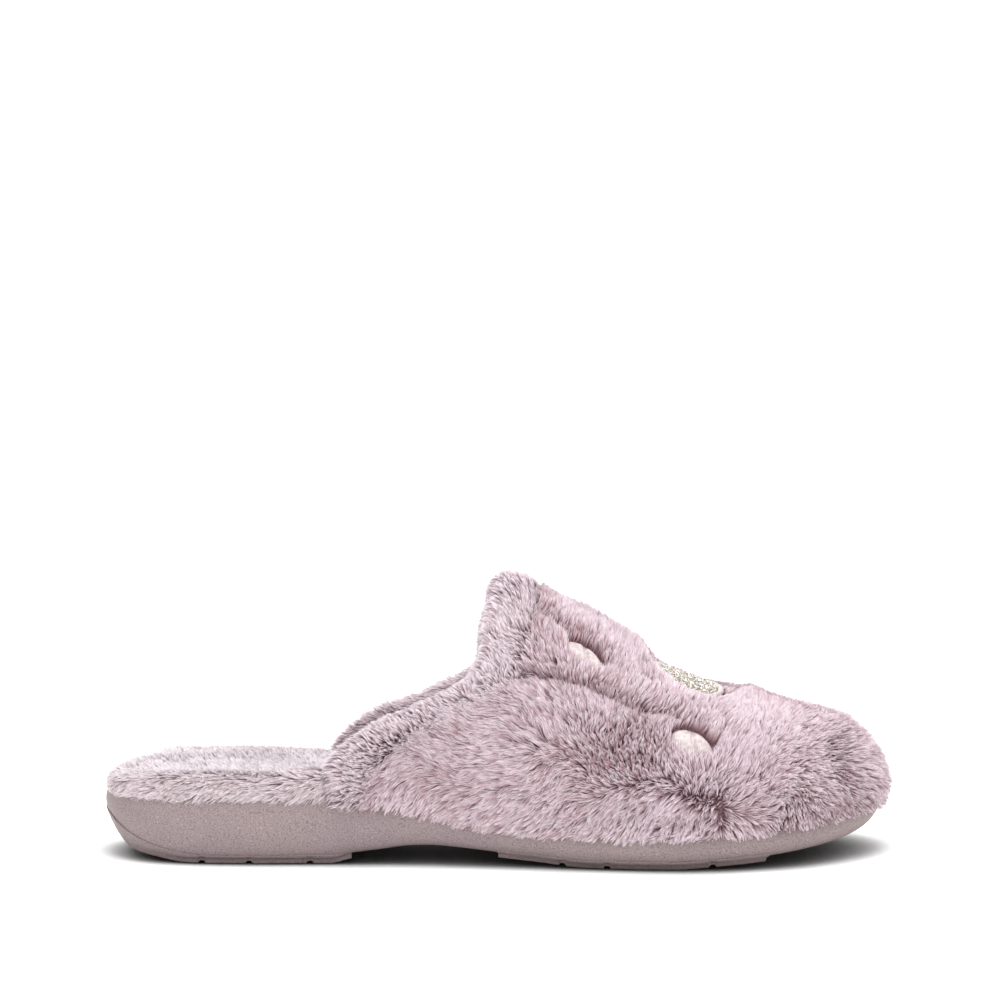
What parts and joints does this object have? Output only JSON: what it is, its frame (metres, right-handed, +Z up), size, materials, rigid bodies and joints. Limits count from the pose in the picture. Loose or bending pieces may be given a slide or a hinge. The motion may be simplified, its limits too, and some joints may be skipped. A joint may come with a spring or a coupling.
{
  "type": "fluffy house slipper",
  "caption": "Backless plush house slipper for the right foot: long-pile vamp with a rolled collar and satin and glitter applique, cushioned plush footbed, moulded low-wedge sole.",
  "frame": {"origin": "on the floor, under the middle of the overall box", "axes": "+X from the heel to the toe, +Y to the medial (inner) side of this right-foot slipper, +Z up"},
  "size_m": [0.2634, 0.0988, 0.0944],
  "materials": {
    "sole": "matt moulded, faint speckle",
    "tread": "matt moulded, finely textured",
    "board": "pressed fibre board",
    "foam": "open-cell foam, matt",
    "sock": "short velvety pile",
    "plush": "long soft pile, matt with a slight sheen",
    "lining": "short pile, matt",
    "thread": "spun polyester thread",
    "stiffener": "non-woven, stiff",
    "backing": "woven tape and backing cloth",
    "satin": "satin stitch, lustrous thread",
    "glitter": "fine metallic glitter film"
  },
  "bodies": {
    "root": {"sole_unit": "sole", "heel_tread": "tread", "forefoot_tread": "tread", "insole_board": "board", "footbed_foam": "foam", "sock_lining": "sock", "heel_edge_wrap": "plush", "wrap_seam_thread": "thread", "vamp_plush": "plush", "glitter_applique": "glitter", "applique_satin_border": "satin", "satin_leaf_rear_lateral": "satin", "satin_leaf_front_lateral": "satin", "satin_leaf_rear_medial": "satin", "satin_leaf_front_medial": "satin", "glitter_dot_lateral": "glitter", "glitter_dot_medial": "glitter", "embroidery_backing": "backing", "toe_puff": "stiffener", "vamp_foam": "foam", "topline_tape": "backing", "vamp_lining": "lining", "collar_roll": "plush", "collar_seam_thread": "thread"}
  },
  "joints": []
}
